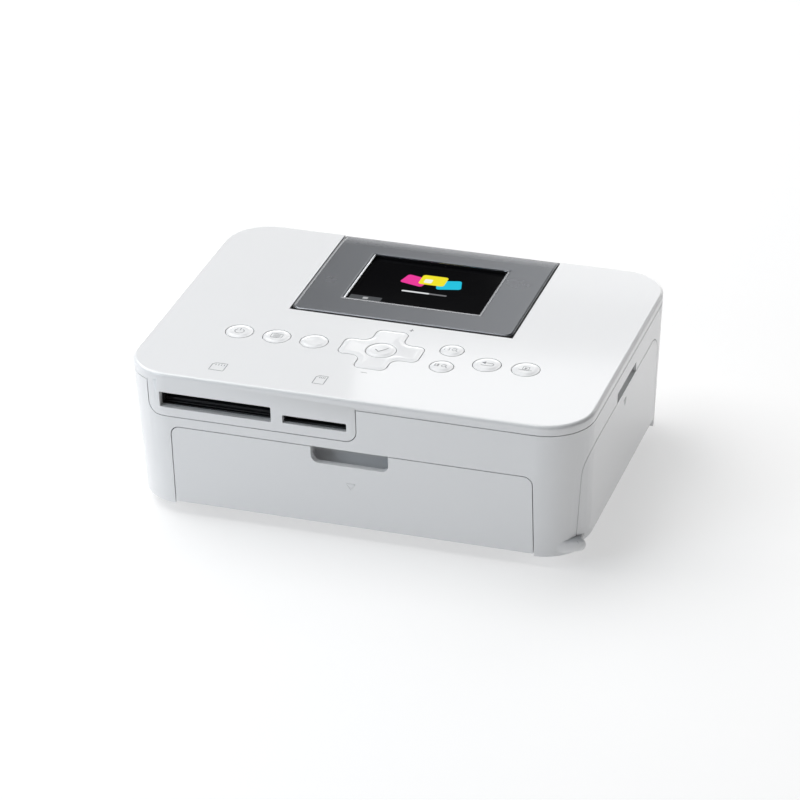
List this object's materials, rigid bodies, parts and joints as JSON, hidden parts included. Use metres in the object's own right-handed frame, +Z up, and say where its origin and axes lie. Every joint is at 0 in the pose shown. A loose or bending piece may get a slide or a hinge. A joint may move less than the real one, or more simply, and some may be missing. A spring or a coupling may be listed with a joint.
{
  "type": "compact photo printer",
  "caption": "Compact desktop photo printer with tilting display, keypad, memory card slots, paper door, side ink door and a working dye-ribbon print mechanism inside.",
  "frame": {"origin": "on the table under the centre of the body", "axes": "+X to the right side with the ink door, -Y to the front with the paper door, +Z up"},
  "size_m": [0.1778, 0.1308, 0.0609],
  "materials": {
    "white_shell": "gloss",
    "white_keys": "gloss",
    "grey_base": "matt",
    "rubber": "matt",
    "steel": "satin",
    "panel_grey": "satin",
    "screen": "gloss",
    "black_plastic": "matt",
    "board": "satin",
    "brass": "satin",
    "nylon": "satin",
    "aluminium": "satin",
    "ceramic": "satin",
    "spool": "satin",
    "dye_film": "gloss",
    "blue_plastic": "satin"
  },
  "bodies": {
    "housing": {"lower_case": "white_shell", "top_cover": "white_shell", "base_plate": "grey_base", "rubber_feet": "rubber", "case_screws": "steel", "front_door_pins": "steel", "ink_door_pins": "steel", "lcd_pins": "steel", "key_board": "board", "main_board": "board", "cf_reader": "black_plastic", "sd_reader": "black_plastic", "dc_jack": "black_plastic", "usb_port": "steel", "left_plate": "steel", "right_plate": "steel", "cross_bars": "steel", "paper_guides": "black_plastic", "bushes": "brass", "gear_stud": "steel", "feed_motor": "steel", "head_shaft": "steel", "eject_studs": "steel"},
    "front_door": {"front_door": "white_shell"},
    "ink_door": {"ink_door": "white_shell"},
    "display": {"lcd_panel": "panel_grey", "lcd_back_cover": "black_plastic", "lcd_screen": "screen", "lcd_module": "steel"},
    "power_button": {"power_button": "white_keys"},
    "menu_button": {"menu_button": "white_keys"},
    "edit_button": {"edit_button": "white_keys"},
    "four_way_pad": {"four_way_pad": "white_keys"},
    "ok_button": {"ok_button": "white_keys"},
    "zoom_in_button": {"zoom_in_button": "white_keys"},
    "zoom_out_button": {"zoom_out_button": "white_keys"},
    "back_button": {"back_button": "white_keys"},
    "print_button": {"print_button": "white_keys"},
    "platen": {"platen_roller": "rubber", "platen_shaft": "steel"},
    "capstan": {"capstan": "steel", "capstan_gear": "nylon"},
    "pinch": {"pinch_rollers": "rubber"},
    "pickup": {"pickup_shaft": "steel", "pickup_tyres": "rubber", "pickup_gear": "nylon"},
    "compound": {"compound_gear": "nylon"},
    "take_up_drive": {"take_up_gear": "nylon"},
    "motor_pinion": {"motor_pinion": "brass"},
    "print_head": {"head_arms": "steel", "heat_sink": "aluminium", "thermal_bar": "ceramic"},
    "ink_cassette": {"cassette_shell": "black_plastic", "ink_ribbon": "dye_film"},
    "take_up_spool": {"take_up_spool": "spool"},
    "supply_spool": {"supply_spool": "spool"},
    "eject_lever": {"eject_lever": "blue_plastic"}
  },
  "joints": [
    {"name": "front_door_hinge", "type": "hinge", "parent": "housing", "child": "front_door", "pos_m": [0, -0.06022, 0.0082], "axis": [1, 0, 0], "range_deg": [0, 90]},
    {"name": "ink_door_hinge", "type": "hinge", "parent": "housing", "child": "ink_door", "pos_m": [0.08452, -0.005, 0.0096], "axis": [0, 1, 0], "range_deg": [0, 90]},
    {"name": "display_tilt", "type": "hinge", "parent": "housing", "child": "display", "pos_m": [0, 0.0057, 0.0578], "axis": [1, 0, 0], "range_deg": [0, 45]},
    {"name": "power_button_press", "type": "slide", "parent": "housing", "child": "power_button", "axis": [0, 0, -1], "range_m": [0, 0.00045], "stiffness_N_per_m": 2500},
    {"name": "menu_button_press", "type": "slide", "parent": "housing", "child": "menu_button", "axis": [0, 0, -1], "range_m": [0, 0.00045], "stiffness_N_per_m": 2500},
    {"name": "edit_button_press", "type": "slide", "parent": "housing", "child": "edit_button", "axis": [0, 0, -1], "range_m": [0, 0.00045], "stiffness_N_per_m": 2500},
    {"name": "four_way_pad_press", "type": "slide", "parent": "housing", "child": "four_way_pad", "axis": [0, 0, -1], "range_m": [0, 0.00045], "stiffness_N_per_m": 2500},
    {"name": "ok_button_press", "type": "slide", "parent": "housing", "child": "ok_button", "axis": [0, 0, -1], "range_m": [0, 0.00045], "stiffness_N_per_m": 2500},
    {"name": "zoom_in_button_press", "type": "slide", "parent": "housing", "child": "zoom_in_button", "axis": [0, 0, -1], "range_m": [0, 0.00045], "stiffness_N_per_m": 2500},
    {"name": "zoom_out_button_press", "type": "slide", "parent": "housing", "child": "zoom_out_button", "axis": [0, 0, -1], "range_m": [0, 0.00045], "stiffness_N_per_m": 2500},
    {"name": "back_button_press", "type": "slide", "parent": "housing", "child": "back_button", "axis": [0, 0, -1], "range_m": [0, 0.00045], "stiffness_N_per_m": 2500},
    {"name": "print_button_press", "type": "slide", "parent": "housing", "child": "print_button", "axis": [0, 0, -1], "range_m": [0, 0.00045], "stiffness_N_per_m": 2500},
    {"name": "capstan_spin", "type": "hinge", "parent": "housing", "child": "capstan", "pos_m": [0, -0.0328, 0.0167], "axis": [1, 0, 0], "continuous": true},
    {"name": "compound_spin", "type": "hinge", "parent": "housing", "child": "compound", "pos_m": [-0.066, -0.02973, 0.0283], "axis": [1, 0, 0], "continuous": true},
    {"name": "motor_pinion_spin", "type": "hinge", "parent": "housing", "child": "motor_pinion", "pos_m": [-0.066, -0.03984, 0.03678], "axis": [1, 0, 0], "continuous": true},
    {"name": "pickup_spin", "type": "hinge", "parent": "housing", "child": "pickup", "pos_m": [0, -0.04139, 0.0275], "axis": [1, 0, 0], "continuous": true},
    {"name": "take_up_drive_spin", "type": "hinge", "parent": "housing", "child": "take_up_drive", "pos_m": [-0.06, -0.0163, 0.0326], "axis": [1, 0, 0], "continuous": true},
    {"name": "pinch_spin", "type": "hinge", "parent": "housing", "child": "pinch", "pos_m": [0, -0.0328, 0.02415], "axis": [1, 0, 0], "continuous": true},
    {"name": "platen_spin", "type": "hinge", "parent": "housing", "child": "platen", "pos_m": [0, 0.0112, 0.0152], "axis": [1, 0, 0], "continuous": true},
    {"name": "head_lift", "type": "hinge", "parent": "housing", "child": "print_head", "pos_m": [0, 0.0472, 0.0455], "axis": [1, 0, 0], "range_deg": [0, 6.8]},
    {"name": "cassette_slide", "type": "slide", "parent": "housing", "child": "ink_cassette", "axis": [1, 0, 0], "range_m": [0, 0.003]},
    {"name": "take_up_spool_spin", "type": "hinge", "parent": "ink_cassette", "child": "take_up_spool", "pos_m": [0, -0.0163, 0.0326], "axis": [1, 0, 0], "continuous": true},
    {"name": "supply_spool_spin", "type": "hinge", "parent": "ink_cassette", "child": "supply_spool", "pos_m": [0, 0.0327, 0.0326], "axis": [1, 0, 0], "continuous": true},
    {"name": "eject_press", "type": "slide", "parent": "housing", "child": "eject_lever", "axis": [0, 0, -1], "range_m": [0, 0.004], "stiffness_N_per_m": 200}
  ],
  "couplings": [
    {"joint": "compound_spin", "follows": "capstan_spin", "ratio": -1.8571},
    {"joint": "motor_pinion_spin", "follows": "capstan_spin", "ratio": 4.9524},
    {"joint": "pickup_spin", "follows": "capstan_spin", "ratio": -1.3},
    {"joint": "take_up_drive_spin", "follows": "capstan_spin", "ratio": 0.78788},
    {"joint": "take_up_spool_spin", "follows": "capstan_spin", "ratio": 0.78788},
    {"joint": "pinch_spin", "follows": "capstan_spin", "ratio": -1.25}
  ]
}
